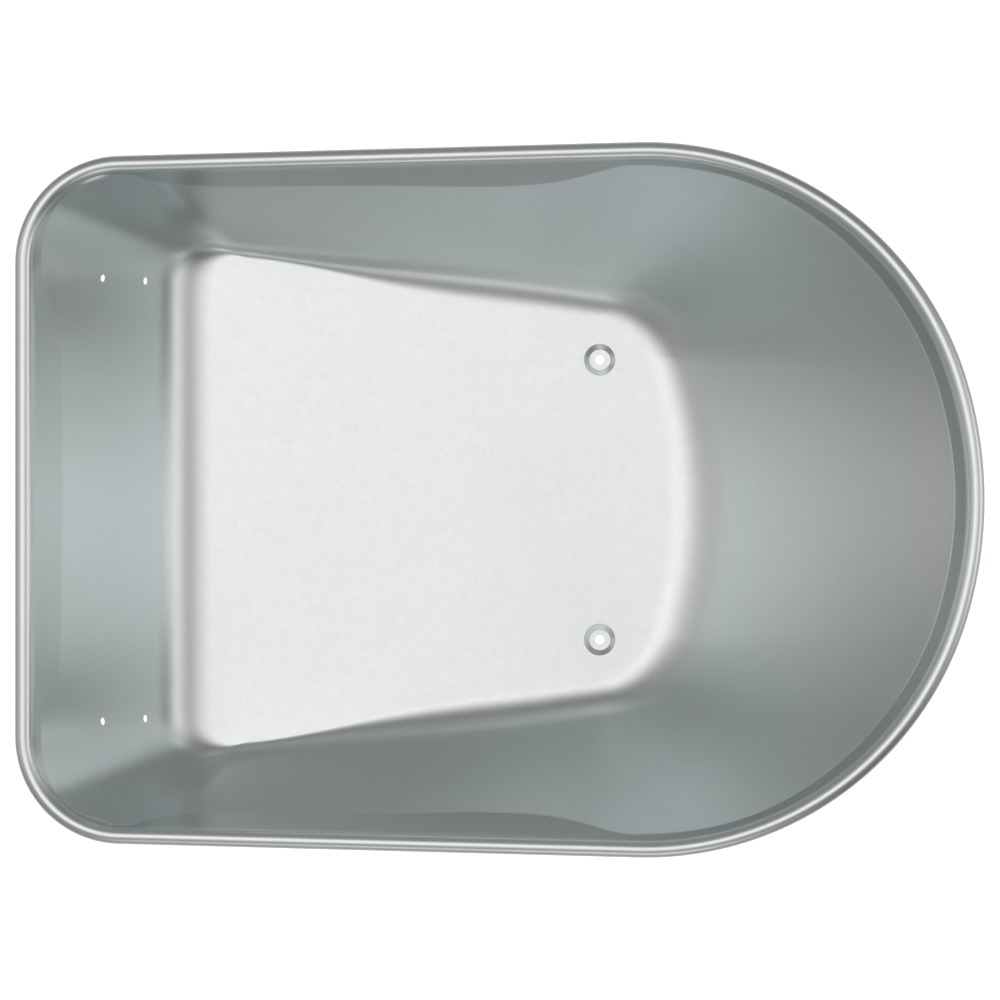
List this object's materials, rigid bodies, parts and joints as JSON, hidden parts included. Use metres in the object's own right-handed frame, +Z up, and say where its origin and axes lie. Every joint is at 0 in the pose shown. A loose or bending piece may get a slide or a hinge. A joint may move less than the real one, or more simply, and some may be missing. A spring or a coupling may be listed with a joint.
{
  "type": "wheelbarrow tray",
  "caption": "Pressed galvanised steel load tray of a wheelbarrow, with a rounded nose, a curled rim, dimpled floor bolt holes and small holes in the rear wall.",
  "frame": {"origin": "under the middle of the tray's overall box, on the surface that it rests on", "axes": "+X towards the rounded nose, where the wheel would be, +Y to the left of someone pushing, +Z up"},
  "size_m": [0.9, 0.6624, 0.26],
  "materials": {
    "galvanised_sheet": "galvanised, satin, with a faint spangle",
    "core_tube": "plain drawn tube, hidden in the rim"
  },
  "bodies": {
    "root": {"tray_pan": "galvanised_sheet", "rim_core": "core_tube"}
  },
  "joints": []
}
